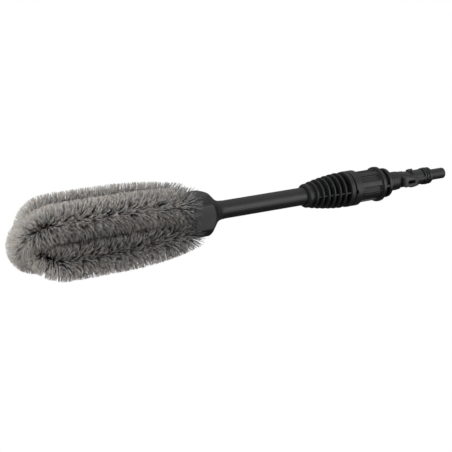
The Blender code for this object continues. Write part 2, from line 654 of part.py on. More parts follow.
def adapter(look, rubber_look, washer_look):
    flange_back = ADAPTER_FLANGE_X + ADAPTER_FLANGE_THICKNESS
    seal_floor = ADAPTER_SPIGOT_RADIUS - 1.5
    seal_width = 2.4
    seals = (136.2, 141.4)
    outline = [(ADAPTER_FRONT_X, SWIVEL_CHAMBER_RADIUS), (ADAPTER_FRONT_X, ADAPTER_SPIGOT_RADIUS)]
    for x in seals:
        outline += [(x, ADAPTER_SPIGOT_RADIUS), (x, seal_floor),
                    (x + seal_width, seal_floor), (x + seal_width, ADAPTER_SPIGOT_RADIUS)]
    outline += [
        (ADAPTER_FLANGE_X, ADAPTER_SPIGOT_RADIUS), (ADAPTER_FLANGE_X, ADAPTER_FLANGE_RADIUS),
        (flange_back, ADAPTER_FLANGE_RADIUS), (flange_back, STEM_RADIUS),
        (STEM_END_X - 0.4, STEM_RADIUS), (STEM_END_X, NECK_RADIUS), (NECK_END_X, NECK_RADIUS),
        (NECK_END_X, 6.9), (INLET_COLLAR_FRONT_X, 6.9),
        (INLET_COLLAR_FRONT_X, INLET_COLLAR_RADIUS), (INLET_GROOVE_FRONT_X, INLET_COLLAR_RADIUS),
        (INLET_GROOVE_FRONT_X, INLET_GROOVE_RADIUS), (INLET_GROOVE_REAR_X, INLET_GROOVE_RADIUS),
        (INLET_GROOVE_REAR_X, INLET_COLLAR_RADIUS), (INLET_COLLAR_REAR_X, INLET_COLLAR_RADIUS),
        (INLET_COLLAR_REAR_X + 0.4, INLET_SHOULDER_RADIUS),
        (INLET_SHOULDER_X, INLET_SHOULDER_RADIUS),
        (INLET_SHOULDER_X + GAP, INLET_RADIUS), (HALF_LENGTH - 1.2, INLET_RADIUS),
        (HALF_LENGTH, INLET_RADIUS - 1.0), (HALF_LENGTH, INLET_BORE), (flange_back, INLET_BORE),
        (ADAPTER_FLANGE_X, SWIVEL_CHAMBER_RADIUS),
    ]
    body = turned("bayonet_adapter", outline, look, MEDIUM)
    lug_end = LUG_X + LUG_LENGTH
    window_x = LUG_X + 3.7
    root = INLET_RADIUS + 0.2  # blocks start well inside the neck
    for number, turn in enumerate((0.0, 180.0), 1):
        lug = lug_block(
            f"guide_lug_{number}", LUG_X, lug_end, LUG_HALF_WIDTH, root, LUG_RADIUS, turn, ramp=2.0)
        rib = lug_block(
            f"guide_rib_{number}", lug_end - 2, RIB_END_X, RIB_HALF_WIDTH, root, RIB_RADIUS, turn)
        window = lug_block(
            f"guide_window_{number}", window_x, window_x + LUG_WINDOW_LENGTH,
            LUG_WINDOW_HEIGHT / 2, LUG_WINDOW_FLOOR, LUG_RADIUS + 5, turn)
        recess = lug_block(
            f"guide_recess_{number}", LUG_RECESS_X, LUG_X + GAP, LUG_HALF_WIDTH + GAP,
            NECK_RADIUS, STEM_RADIUS + 1, turn)
        boolean(body, recess, "DIFFERENCE")
        boolean(body, lug, "UNION")
        boolean(body, rib, "UNION")
        boolean(body, window, "DIFFERENCE")
    for number, half_turn in enumerate((0.0, 180.0), 1):
        pocket = lug_block(
            f"guide_pocket_{number}", POCKET_X, POCKET_X + POCKET_LENGTH, 4.6, 6.9, 12.0,
            POCKET_TURN + half_turn)
        key = lug_block(
            f"guide_key_{number}", KEY_X, KEY_X + KEY_LENGTH, 2.6, root, 9.8, KEY_TURN + half_turn)
        boolean(body, pocket, "DIFFERENCE")
        boolean(body, key, "UNION")

    for number, x in enumerate(seals, 1):
        o_ring(f"swivel_o_ring_{number}", x + seal_width / 2, seal_floor + 0.2,
               ADAPTER_SPIGOT_RADIUS + 0.05, seal_width / 2 - 0.15, rubber_look)
    o_ring("inlet_o_ring", (INLET_GROOVE_FRONT_X + INLET_GROOVE_REAR_X) / 2,
           INLET_GROOVE_RADIUS + 0.2, INLET_COLLAR_RADIUS + GAP, 2.1, rubber_look, MEDIUM)
    flat_ring("swivel_thrust_washer", STUB_END_X + GAP, ADAPTER_SPIGOT_RADIUS + GAP,
              STUB_RADIUS - 0.4, WASHER_THICKNESS, washer_look)
    flat_ring("nut_slip_washer", slip_washer_x(), STEM_RADIUS + GAP,
              STUB_RADIUS - 0.1, WASHER_THICKNESS, washer_look)


# ---------------------------------------------------------------- the brush

for old in list(bpy.data.objects):
    bpy.data.objects.remove(old, do_unlink=True)

# The lowest bristles just touch the surface: a row's wire and its bristles' reach below it.
axis_height = ROW_RADIUS * math.sin(math.radians(45)) + BRISTLE_RADIUS
brush_axis = bpy.data.objects.new("brush_axis", None)
brush_axis.location = (0.0, 0.0, axis_height * MM)
bpy.context.collection.objects.link(brush_axis)

black_plastic = material("black_plastic", (0.022, 0.022, 0.024), 0.42)
grip_plastic = material("grip_plastic", (0.026, 0.026, 0.028), 0.5)
tube_plastic = material("tube_plastic", (0.03, 0.03, 0.032), 0.38)
bristle_grey = material("bristle_grey", (0.19, 0.185, 0.175), 0.75)
zinc_wire = material("zinc_wire", (0.6, 0.57, 0.45), 0.35, 1.0)
brass = material("brass", (0.72, 0.55, 0.27), 0.35, 1.0)
steel = material("steel", (0.55, 0.56, 0.58), 0.3, 1.0)
rubber = material("rubber", (0.012, 0.014, 0.02), 0.45)
white_plastic = material("white_plastic", (0.75, 0.75, 0.72), 0.4)

brush_loop("outer", OUTER_APEX_X, OUTER_LOOP_TURN, True, zinc_wire, bristle_grey)
brush_loop("inner", INNER_APEX_X, INNER_LOOP_TURN, False, zinc_wire, bristle_grey)
hub(black_plastic, grip_plastic, steel)
nozzle(brass, rubber)
shaft(tube_plastic, steel)
grip(grip_plastic)
flat_ring("shaft_end_seal", SHAFT_REAR_X + GAP, SHAFT_BORE, SHAFT_RADIUS, WASHER_THICKNESS, rubber)
union_nut(black_plastic)
adapter(black_plastic, rubber, white_plastic)
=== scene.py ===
"""Looks for the water-fed wheel rim brush: bristles, twisted wires, mouldings, light and camera.

The brush lies along X, nose at -X and bayonet inlet at +X. Lengths are in
millimetres until a mesh is made, and heights and radii are measured from the
brush's axis. The stage, the lamps and the camera are placed in metres. A turn
is an angle round the axis, 0 facing -Y and 90 facing up.
"""

import math
from types import SimpleNamespace

import bmesh
import bpy
import numpy as np
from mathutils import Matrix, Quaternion, Vector


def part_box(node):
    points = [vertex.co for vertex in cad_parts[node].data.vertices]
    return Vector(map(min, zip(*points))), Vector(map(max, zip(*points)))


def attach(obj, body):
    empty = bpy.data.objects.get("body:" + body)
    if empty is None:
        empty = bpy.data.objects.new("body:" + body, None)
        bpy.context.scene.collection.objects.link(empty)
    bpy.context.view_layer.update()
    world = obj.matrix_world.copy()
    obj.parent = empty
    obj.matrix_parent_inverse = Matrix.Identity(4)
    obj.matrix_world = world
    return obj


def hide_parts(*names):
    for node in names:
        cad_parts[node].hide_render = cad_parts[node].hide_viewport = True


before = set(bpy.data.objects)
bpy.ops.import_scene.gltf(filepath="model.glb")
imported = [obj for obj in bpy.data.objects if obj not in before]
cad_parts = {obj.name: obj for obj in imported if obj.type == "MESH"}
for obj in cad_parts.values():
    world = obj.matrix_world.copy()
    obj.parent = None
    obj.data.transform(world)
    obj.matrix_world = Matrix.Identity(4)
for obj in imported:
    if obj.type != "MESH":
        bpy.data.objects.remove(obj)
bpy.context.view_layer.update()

MM = 0.001


def box_mm(node):
    """A CAD node's lowest and highest corner in millimetres."""
    low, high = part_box(node)
    return low / MM, high / MM


# ---------------------------------------------------------------- sizes

# From the frame
TUBE_LOW, TUBE_HIGH = box_mm("shaft_tube")
AXIS_Z = (TUBE_LOW.z + TUBE_HIGH.z) / 2
TUBE_RADIUS = (TUBE_HIGH.z - TUBE_LOW.z) / 2
SHELL_LOW, SHELL_HIGH = box_mm("hub_shell")
GRIP_LOW, GRIP_HIGH = box_mm("ribbed_grip")
NUT_LOW, NUT_HIGH = box_mm("union_nut")
ADAPTER_LOW, ADAPTER_HIGH = box_mm("bayonet_adapter")
SEAL_LOW, SEAL_HIGH = box_mm("inlet_o_ring")
WIRE_LOW, WIRE_HIGH = box_mm("wire_outer_loop")
CAP_FRONT_X = box_mm("hub_front_cap")[0].x

# Brush loops
WIRE_RADIUS = 1.6
WIRE_PITCH = 15.0
LINE_SPACING = 0.5
ROW_RADIUS = 26.5
ROW_RADIUS_AT_HUB = 16.4
ROW_SPREAD_LENGTH = 110.0
OUTER_APEX_X = WIRE_LOW.x + WIRE_RADIUS
INNER_APEX_X = box_mm("wire_inner_loop")[0].x + WIRE_RADIUS
BRISTLE_START_X = box_mm("bristles_outer_loop")[1].x
OUTER_LOOP_TURN = 45.0
INNER_LOOP_TURN = 135.0
BRISTLE_REACH = 19.6
BRISTLES_PER_MM = 44.0
NOSE_EXTRA_PER_MM = 30.0
BRISTLE_ROOT_RADIUS = 0.25
BRISTLE_TIP_RADIUS = 0.18

SHARP_ANGLE = 35.0


# ---------------------------------------------------------------- mesh tools

def polar(x, radius, turn):
    """A point in metres from a station, a radius and a turn."""
    angle = math.radians(turn)
    return Vector((x, -radius * math.cos(angle), AXIS_Z + radius * math.sin(angle))) * MM


def mesh_object(name, points, faces, sharp_angle=SHARP_ANGLE):
    """An object with outward faces from points in metres."""
    mesh = bpy.data.meshes.new(name)
    mesh.from_pydata([tuple(p) for p in points], [], faces)
    bm = bmesh.new()
    bm.from_mesh(mesh)
    bmesh.ops.remove_doubles(bm, verts=bm.verts, dist=1e-7)
    if bm.calc_volume(signed=True) < 0:
        bmesh.ops.reverse_faces(bm, faces=bm.faces)
    bm.to_mesh(mesh)
    bm.free()
    mesh.shade_smooth()
    mesh.set_sharp_from_angle(angle=math.radians(sharp_angle))
    made = bpy.data.objects.new(name, mesh)
    bpy.context.scene.collection.objects.link(made)
    return made


def filleted(corners, steps=4):
    """A closed outline of (x, radius, fillet, tag) corners as (x, radius, tag) points."""
    outline = []
    count = len(corners)
    for index, (x, radius, size, tag) in enumerate(corners):
        here = Vector((x, radius))
        if size <= 0:
            outline.append((x, radius, tag))
            continue
        before = Vector(corners[index - 1][:2]) - here
        after = Vector(corners[(index + 1) % count][:2]) - here
        half = before.angle(after) / 2
        back = min(size / math.tan(half), 0.45 * before.length, 0.45 * after.length)
        start = here + before.normalized() * back
        end = here + after.normalized() * back
        for step in range(steps + 1):
            t = step / steps
            point = (1 - t) ** 2 * start + 2 * t * (1 - t) * here + t * t * end
            outline.append((point.x, point.y, tag))
    return outline


def with_stations(outline, tag, spacing):
    """Adds points between neighbours that both carry this tag."""
    dense = []
    for index, one in enumerate(outline):
        two = outline[(index + 1) % len(outline)]
        dense.append(one)
        if one[2] != tag or two[2] != tag:
            continue
        length = math.hypot(two[0] - one[0], two[1] - one[1])
        steps = int(length / spacing)
        for step in range(1, steps):
            t = step / steps
            dense.append((one[0] + (two[0] - one[0]) * t, one[1] + (two[1] - one[1]) * t, tag))
    return dense


def turns_round(count, edges=()):
    """Even turns, with a close pair of turns on each edge."""
    turns = {round(360.0 * k / count, 4) for k in range(count)}
    for edge in edges:
        for shift in (-0.25, 0.25):
            turns.add(round((edge + shift) % 360.0, 4))
    return sorted(turns)


def turned(name, outline, turns, reshape=None):
    """A closed outline of (x, radius, tag) turned about the axis."""
    points, faces = [], []
    length, count = len(outline), len(turns)
    for turn in turns:
        for x, radius, tag in outline:
            if reshape:
                radius = reshape(x, radius, tag, turn)
            points.append(polar(x, radius, turn))
    for ring in range(count):
        after = (ring + 1) % count
        for k in range(length):
            n = (k + 1) % length
            faces.append((ring * length + k, ring * length + n,
                          after * length + n, after * length + k))
    return mesh_object(name, points, faces)


def from_key(turn):
    """How far a turn is from the nearer of 0 and 180."""
    return abs((turn + 90.0) % 180.0 - 90.0)


def eased(value):
    """0 to 1 with a soft start and end."""
    value = min(max(value, 0.0), 1.0)
    return value * value * (3 - 2 * value)


# ---------------------------------------------------------------- materials

def new_material(name, metallic=0.0):
    """A node material, with its tree and its shader."""
    made = bpy.data.materials.new(name)
    made.use_nodes = True
    shader = made.node_tree.nodes["Principled BSDF"]
    shader.inputs["Metallic"].default_value = metallic
    return made, made.node_tree, shader


def add(tree, kind, **values):
    """A new node with these properties."""
    node = tree.nodes.new(kind)
    for key, value in values.items():
        setattr(node, key, value)
    return node


def ramp(tree, source, stops):
    """A colour ramp over (position, colour) stops."""
    node = add(tree, "ShaderNodeValToRGB")
    elements = node.color_ramp.elements
    while len(elements) < len(stops):
        elements.new(0.5)
    for element, (position, colour) in zip(elements, stops):
        element.position = position
        element.color = (*colour, 1.0)
    tree.links.new(source, node.inputs["Fac"])
    return node


def grey(value):
    return (value, value, value)


def object_place(tree, stretch=(1.0, 1.0, 1.0)):
    """Object coordinates in metres, stretched for directional grain."""
    coordinates = add(tree, "ShaderNodeTexCoord")
    mapping = add(tree, "ShaderNodeMapping")
    mapping.inputs["Scale"].default_value = stretch
    tree.links.new(coordinates.outputs["Object"], mapping.inputs["Vector"])
    return mapping.outputs["Vector"]


def noise(tree, place, scale, detail=3.0, roughness=0.55):
    node = add(tree, "ShaderNodeTexNoise")
    node.inputs["Scale"].default_value = scale
    node.inputs["Detail"].default_value = detail
    node.inputs["Roughness"].default_value = roughness
    tree.links.new(place, node.inputs["Vector"])
    return node.outputs["Fac"]


def mixed(tree, factor, one, two, blend="MIX"):
    """Mixes two colour sockets; either may be a plain colour."""
    node = add(tree, "ShaderNodeMix", data_type="RGBA", blend_type=blend)
    if isinstance(factor, float):
        node.inputs["Factor"].default_value = factor
    else:
        tree.links.new(factor, node.inputs["Factor"])
    for name, value in (("A", one), ("B", two)):
        socket = next(s for s in node.inputs if s.name == name and s.type == "RGBA")
        if isinstance(value, tuple):
            socket.default_value = (*value, 1.0)
        else:
            tree.links.new(value, socket)
    return next(s for s in node.outputs if s.type == "RGBA")


def bump(tree, shader, heights):
    """Stacks (socket, strength, distance) bumps onto the shader's normal."""
    normal = None
    for height, strength, distance in heights:
        node = add(tree, "ShaderNodeBump")
        node.inputs["Strength"].default_value = strength
        node.inputs["Distance"].default_value = distance
        tree.links.new(height, node.inputs["Height"])
        if normal:
            tree.links.new(normal, node.inputs["Normal"])
        normal = node.outputs["Normal"]
    tree.links.new(normal, shader.inputs["Normal"])


def edge_mask(tree, low, high):
    """1 on worn outside edges and 0 elsewhere."""
    edges = add(tree, "ShaderNodeNewGeometry").outputs["Pointiness"]
    return ramp(tree, edges, [(low, grey(0.0)), (high, grey(1.0))]).outputs["Color"]


def moulded_plastic(name, colour, worn, roughness, grain_scale, grain_depth,
                    streak=(25.0, 90.0, 90.0)):
    """Dark moulded plastic: fine grain, faint flow marks, dust and lighter edges."""
    made, tree, shader = new_material(name)
    place = object_place(tree)
    cloud = noise(tree, place, 60.0, 4.0)
    flow = noise(tree, object_place(tree, streak), 1.0, 5.0)
    grain = noise(tree, place, grain_scale, 2.0)
    dark = tuple(c * 0.8 for c in colour)
    light = tuple(c * 1.25 for c in colour)
    base = ramp(tree, cloud, [(0.3, dark), (0.7, light)]).outputs["Color"]
    dust = ramp(tree, flow, [(0.52, grey(0.0)), (0.8, grey(0.35))]).outputs["Color"]
    base = mixed(tree, dust, base, tuple(c * 1.8 for c in colour))
    base = mixed(tree, edge_mask(tree, 0.52, 0.62), base, worn)
    tree.links.new(base, shader.inputs["Base Color"])
    gloss = ramp(tree, flow, [(0.3, grey(roughness - 0.05)), (0.75, grey(roughness + 0.09))])
    tree.links.new(gloss.outputs["Color"], shader.inputs["Roughness"])
    shader.inputs["Specular IOR Level"].default_value = 0.75
    bump(tree, shader, [(grain, 0.35, grain_depth), (flow, 0.25, 0.00004)])
    return made


def bristle_filament():
    """Nylon filament: root darker in part as painted shade near the wire, grey body, pale tip,
    blue-grey to beige from one to the next.
    """
    made, tree, shader = new_material("bristle_filament")
    along = add(tree, "ShaderNodeAttribute", attribute_name="along").outputs["Fac"]
    tone = add(tree, "ShaderNodeAttribute", attribute_name="tone").outputs["Fac"]
    # Both ramps darken towards the root: partly the filament's own colour, partly painted shade near
    # the wire.
    cool = ramp(tree, along, [
        (0.0, (0.052, 0.060, 0.074)), (0.35, (0.086, 0.097, 0.113)), (0.7, (0.200, 0.210, 0.214)),
        (1.0, (0.36, 0.362, 0.352))]).outputs["Color"]
    warm = ramp(tree, along, [
        (0.0, (0.056, 0.057, 0.060)), (0.35, (0.108, 0.102, 0.094)), (0.7, (0.245, 0.216, 0.184)),
        (1.0, (0.43, 0.372, 0.315))]).outputs["Color"]
    pick = ramp(tree, tone, [(0.30, grey(0.0)), (0.95, grey(1.0))]).outputs["Color"]
    base = mixed(tree, pick, cool, warm)
    shade = ramp(tree, noise(tree, object_place(tree), 900.0, 2.0),
                 [(0.3, grey(0.8)), (0.7, grey(1.15))]).outputs["Color"]
    base = mixed(tree, 1.0, base, shade, "MULTIPLY")
    # The shade attribute: each filament's random tone times its painted shade.
    tone_and_painted_shade = add(tree, "ShaderNodeAttribute", attribute_name="shade").outputs["Color"]
    base = mixed(tree, 1.0, base, tone_and_painted_shade, "MULTIPLY")
    tree.links.new(base, shader.inputs["Base Color"])
    gloss = ramp(tree, tone, [(0.0, grey(0.42)), (1.0, grey(0.6))]).outputs["Color"]
    tree.links.new(gloss, shader.inputs["Roughness"])
    shader.inputs["Specular IOR Level"].default_value = 0.35
    bump(tree, shader, [(noise(tree, object_place(tree), 4000.0, 1.0), 0.2, 0.00002)])
    return made


def metal(name, colour, tarnish, roughness):
    """Metal with tarnish in patches and fine drawing marks."""
    made, tree, shader = new_material(name, metallic=1.0)
    place = object_place(tree)
    patches = noise(tree, place, 300.0, 4.0)
    marks = noise(tree, object_place(tree, (400.0, 4000.0, 4000.0)), 1.0, 2.0)
    base = ramp(tree, patches, [(0.35, colour), (0.7, tarnish)]).outputs["Color"]
    tree.links.new(base, shader.inputs["Base Color"])
    gloss = ramp(tree, patches, [(0.3, grey(roughness)), (0.75, grey(roughness + 0.22))])
    tree.links.new(gloss.outputs["Color"], shader.inputs["Roughness"])
    bump(tree, shader, [(marks, 0.3, 0.00002)])
    return made


def seal_rubber():
    """Nitrile with a blue-grey sheen of silicone grease."""
    made, tree, shader = new_material("seal_rubber")
    place = object_place(tree)
    smear = noise(tree, place, 220.0, 3.0)
    base = ramp(tree, smear, [(0.35, (0.005, 0.006, 0.008)), (0.7, (0.012, 0.015, 0.022))])
    tree.links.new(base.outputs["Color"], shader.inputs["Base Color"])
    gloss = ramp(tree, smear, [(0.3, grey(0.16)), (0.7, grey(0.30))])
    tree.links.new(gloss.outputs["Color"], shader.inputs["Roughness"])
    bump(tree, shader, [(noise(tree, place, 2500.0, 2.0), 0.2, 0.00003)])
    return made


black_plastic = moulded_plastic(
    "black_plastic", (0.0070, 0.0073, 0.0077), (0.026, 0.0265, 0.0275), 0.40, 2600.0, 0.00006)
grip_plastic = moulded_plastic(
    "grip_plastic", (0.0064, 0.0067, 0.0071), (0.026, 0.0265, 0.0275), 0.44, 3200.0, 0.00009)
tube_plastic = moulded_plastic(
    "tube_plastic", (0.0070, 0.0073, 0.0077), (0.024, 0.0245, 0.0255), 0.38, 2800.0, 0.00005,
    streak=(4.0, 260.0, 260.0))
acetal = moulded_plastic(
    "acetal", (0.62, 0.62, 0.60), (0.74, 0.74, 0.72), 0.38, 2200.0, 0.00004)
filament = bristle_filament()
zinc_wire = metal("zinc_wire", (0.66, 0.62, 0.47), (0.34, 0.31, 0.23), 0.28)
brass = metal("brass", (0.78, 0.58, 0.27), (0.42, 0.30, 0.15), 0.25)
steel = metal("steel", (0.58, 0.58, 0.59), (0.34, 0.33, 0.32), 0.27)
rubber = seal_rubber()


def finish_with(piece, look, slot, body, *nodes):
    """Gives a piece its material and body and hides the CAD nodes that it stands for; slot is not
    used.
    """
    piece.data.materials.clear()
    piece.data.materials.append(look)
    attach(piece, body)
    if nodes:
        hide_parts(*nodes)
    return piece


# ---------------------------------------------------------------- brush loops

def leg_radius(x):
    """How far a loop's leg is from the axis at this station."""
    along = min(max((CAP_FRONT_X - x) / ROW_SPREAD_LENGTH, 0.0), 1.0)
    return ROW_RADIUS - (ROW_RADIUS - ROW_RADIUS_AT_HUB) * (1.0 - along) ** 3


def loop_line(apex_x, turn, start_x, spacing=LINE_SPACING):
    """Even centre points of one loop in mm, with tangents, outward normals and side vectors.

    It runs from the hub along the leg at turn, round the nose, and back along the other leg.
    """
    bend_x = apex_x + ROW_RADIUS
    leg_x = np.arange(start_x, bend_x, -spacing)
    leg = np.column_stack([leg_x, [leg_radius(x) for x in leg_x]])
    angles = np.linspace(0.0, math.pi, int(math.pi * ROW_RADIUS / spacing))
    bend = np.column_stack([bend_x - ROW_RADIUS * np.sin(angles), ROW_RADIUS * np.cos(angles)])
    flat = np.vstack([leg, bend, (leg * (1, -1))[::-1]])
    lengths = np.concatenate([[0.0], np.cumsum(np.linalg.norm(np.diff(flat, axis=0), axis=1))])
    even = np.arange(0.0, lengths[-1], spacing)
    flat = np.column_stack([np.interp(even, lengths, flat[:, k]) for k in (0, 1)])
    tangent = np.gradient(flat, axis=0)
    tangent /= np.linalg.norm(tangent, axis=1)[:, None]
    angle = math.radians(turn)
    across = np.array([0.0, -math.cos(angle), math.sin(angle)])
    ahead = np.array([1.0, 0.0, 0.0])
    side = np.cross(ahead, across)
    centre = flat[:, :1] * ahead + flat[:, 1:] * across
    tangents = tangent[:, :1] * ahead + tangent[:, 1:] * across
    normals = -tangent[:, 1:] * ahead + tangent[:, :1] * across
    if (normals[0] @ across) < 0:
        normals = -normals
    return even, centre, tangents, normals, np.broadcast_to(side, centre.shape)


def to_metres(points):
    """Points measured from the brush's axis in mm, as world points in metres."""
    return (np.asarray(points) + (0.0, 0.0, AXIS_Z)) * MM


def twisted_wire(name, apex_x, turn):
    """Two strands wound round each other along a loop."""
    strand_radius, pressed, sides = 0.82, 0.95, 8
    lengths, centre, _, normals, side = loop_line(apex_x, turn, WIRE_HIGH.x, spacing=0.55)
    phase = 2 * math.pi * (lengths - WIRE_PITCH / 2) / WIRE_PITCH
    points, faces = [], []
    for start in (0.0, math.pi):
        away = np.cos(phase + start)[:, None] * normals + np.sin(phase + start)[:, None] * side
        line = centre + away * strand_radius * pressed
        tangents = np.gradient(line, axis=0)
        tangents /= np.linalg.norm(tangents, axis=1)[:, None]
        other = np.cross(tangents, away)
        first = len(points)
        for k in range(len(line)):
            for corner in range(sides):
                angle = 2 * math.pi * corner / sides
                points.append(line[k] + strand_radius * (
                    math.cos(angle) * away[k] + math.sin(angle) * other[k]))
        for k in range(len(line) - 1):
            for corner in range(sides):
                n = (corner + 1) % sides
                a, b = first + k * sides, first + (k + 1) * sides
                faces.append((a + corner, a + n, b + n, b + corner))
        faces.append(tuple(first + corner for corner in reversed(range(sides))))
        last = first + (len(line) - 1) * sides
        faces.append(tuple(last + corner for corner in range(sides)))
    return mesh_object(name, to_metres(points), faces, sharp_angle=60.0)


def smooth_field(rng, count, frequencies, lobes):
    """A gentle random field over (distance along the wire, angle round it).

    It is a sum of count waves. frequencies is their range in waves per mm along the wire,
    and lobes their range round it.
    """
    terms = []
    for _ in range(count):
        frequency = rng.uniform(*frequencies)
        waves_round = rng.integers(lobes[0], lobes[1] + 1)
        terms.append((frequency, waves_round, rng.uniform(0, 2 * math.pi)))

    def field(along, round_wire):
        total = np.zeros_like(along)
        for frequency, waves_round, start in terms:
            total += np.sin(2 * math.pi * along * frequency + waves_round * round_wire + start)
        return total / math.sqrt(len(terms))
    return field


def angle_from(facing, angle):
    """Angles round the wire measured from facing, from -pi to pi."""
    return (angle - facing + math.pi) % (2 * math.pi) - math.pi


def bristle_roots(rng, apex_x, turn, splits):
    """Where the filaments of one loop leave the wire, and which way they point."""
    lengths, centre, tangents, normals, side = loop_line(apex_x, turn, BRISTLE_START_X)
    total = lengths[-1]
    nose_start = 0.5 * (total - math.pi * ROW_RADIUS)
    nose_extra = int(math.pi * ROW_RADIUS * NOSE_EXTRA_PER_MM)
    even = rng.uniform(0.0, total, int(total * BRISTLES_PER_MM))
    extra = rng.uniform(nose_start, total - nose_start, nose_extra)
    along = np.sort(np.concatenate([even, extra]))
    count = len(along)
    index = np.clip((along / LINE_SPACING).astype(int), 0, len(centre) - 1)
    base = centre[index]
    bend_x = apex_x + ROW_RADIUS
    nose = np.clip((bend_x - base[:, 0]) / ROW_RADIUS, 0.0, 1.0)
    fan = 2 * math.pi * along / WIRE_PITCH + math.pi * rng.integers(0, 2, count)
    angle = fan + rng.normal(0.0, 0.95, count) * (1.0 + 1.2 * np.sqrt(nose))
    for place, spread, strength, facing in splits:
        side_on = angle_from(facing, angle)
        here = np.exp(-((along - place) / spread) ** 4)
        angle += strength * here * np.sign(side_on) * np.exp(-(side_on / 0.6) ** 2)
    ahead, out, aside = tangents[index], normals[index], side[index]
    in_nose = (along > nose_start) & (along < total - nose_start)
    first_half = along < total / 2
    return SimpleNamespace(
        count=count, along=along, angle=angle, base=base, ahead=ahead,
        direction=np.cos(angle)[:, None] * out + np.sin(angle)[:, None] * aside,
        from_ends=np.minimum(along, total - along), nose=nose, combed=1.0 - 0.5 * nose,
        in_nose=in_nose, first_half=first_half)


def bristle_reach(rng, roots):
    """Each filament's length: less straight ahead of the nose and in its crowded inner side."""
    ahead_of_nose = np.clip(-roots.direction[:, 0], 0.0, 1.0)
    reach = np.full(roots.count, BRISTLE_REACH) - 3.0 * ahead_of_nose ** 2
    reach *= 1.0 - 0.35 * roots.nose * np.clip(-np.cos(roots.angle), 0.0, 1.0)
    ragged = smooth_field(rng, 5, (0.02, 0.12), (0, 3))
    reach *= 1.0 + 0.010 * ragged(roots.along, roots.angle) + rng.normal(0.0, 0.013, roots.count)
    short = rng.random(roots.count) < 0.12
    reach[short] *= rng.uniform(0.75, 0.97, short.sum())
    return reach


def bristle_lean(rng, roots, partings):
    """How far the tips lean along the wire and sway round it, as parts of the reach.

    There are fine and broad tufts, partings and a sweep back over the hub.
    """
    along, angle, combed = roots.along, roots.angle, roots.combed
    tuft = smooth_field(rng, 8, (0.16, 0.42), (1, 4))
    drift = smooth_field(rng, 5, (0.02, 0.08), (0, 2))
    tuft_side = smooth_field(rng, 8, (0.10, 0.40), (2, 6))
    clumped = 1.0 - 0.7 * roots.nose
    lean = 0.022 * clumped * tuft(along, angle) + 0.03 * drift(along, angle)
    lean += combed * rng.normal(0.0, 0.022, roots.count)
    sway = 0.024 * clumped * tuft_side(along, angle)
    sway += combed * rng.normal(0.0, 0.026, roots.count)
    for place, strength, facing in partings:
        away = along - place
        near = np.exp(-np.abs(away) / 3.0) * np.exp(-((1 - np.cos(angle - facing)) / 0.5) ** 2)
        lean += strength * np.sign(away) * near
    to_hub = np.where(roots.first_half, -1.0, 1.0)
    lean += to_hub * (0.30 * np.exp(-roots.from_ends / 14.0)
                      + rng.uniform(0.0, 0.45, roots.count) * np.exp(-roots.from_ends / 4.5))
    return lean, sway


def bristle_tone_and_painted_shade(rng, roots, shaded_stripes):
    """How light each filament is: a random tone, with painted shade inside the loop, near the hub and
    in the shaded stripes, and a little darker at the nose.
    """
    outside = 0.5 + 0.5 * np.cos(roots.angle)
    shade = np.clip(1.0 + roots.combed * rng.normal(0.0, 0.15, roots.count), 0.6, 1.4)
    # Painted shade: filaments that point into the loop, where the rows crowd each other, are darker.
    shade *= 0.56 + 0.56 * outside
    # Painted shade near the hub; the nose is a little darker too.
    shade *= (1.0 - 0.62 * np.exp(-roots.from_ends / 7.0)) * (1.0 - 0.22 * roots.nose)
    # Painted shade: a darker stripe where another row overhangs these filaments.
    for start, facing, strength in shaded_stripes:
        side_on = angle_from(facing, roots.angle)
        past = 1.0 / (1.0 + np.exp((start - roots.along) / 4.0))
        shade *= 1.0 - strength * past * np.exp(-(side_on / 0.48) ** 2)
    return shade


def bristles(label, apex_x, turn, partings, splits, shaded_stripes, seed):
    """The filaments of one loop as three pieces: the nose, a row and the other row.

    A place is a distance in mm along the wire from the hub end of the first row. A facing is an
    angle round the wire in radians, 0 being outward.
    partings are (place, strength, facing): filaments lean away to both sides of the place.
    splits are (place, spread, strength, facing): they turn away from the facing, and the wire
    shows between them.
    Each shaded stripe is (place, facing, strength): from the place on, a stripe on that facing is
    painted darker, as painted shade where another row overhangs it.
    """
    rng = np.random.default_rng(seed)
    roots = bristle_roots(rng, apex_x, turn, splits)
    reach = bristle_reach(rng, roots)
    lean, sway = bristle_lean(rng, roots, partings)
    wave = rng.uniform(0, 2 * math.pi, roots.count)
    curl = rng.normal(0.0, 0.008, roots.count)
    ahead, swing = roots.ahead, np.cross(roots.ahead, roots.direction)
    stations = np.array([0.04, 0.55, 1.0])
    rings = []
    for t in stations:
        r = reach * t
        curve = 0.35 + 0.65 * t
        bend = lean * r * curve + curl * reach * math.sin(math.pi * t)
        cross = sway * r * curve + 0.003 * reach * np.sin(wave + 5.0 * t)
        rings.append(roots.base + roots.direction * r[:, None] + ahead * bend[:, None]
                     + swing * cross[:, None])
    tone = rng.random(roots.count) * (1.0 - 0.7 * np.exp(-roots.from_ends / 10.0))
    shade = bristle_tone_and_painted_shade(rng, roots, shaded_stripes)
    # Painted light: roots in the nose are painted lighter, towards the colour of their tips.
    painted_root_light = 0.55 * roots.nose
    radii = BRISTLE_ROOT_RADIUS + (BRISTLE_TIP_RADIUS - BRISTLE_ROOT_RADIUS) * stations

    rows = ~roots.in_nose
    pieces = {
        "nose": roots.in_nose, "start": roots.first_half & rows, "end": ~roots.first_half & rows,
    }
    floor_clearance = 0.25
    lowest = floor_clearance - AXIS_Z
    made = []
    for part, chosen in pieces.items():
        lines = np.stack([ring[chosen] for ring in rings], axis=1)
        lines[:, :, 2] = np.maximum(lines[:, :, 2], lowest)
        made.append(strands(f"bristles_{label}_{part}", lines, radii, stations, tone[chosen],
                            shade[chosen], painted_root_light[chosen], wave[chosen]))
    return made


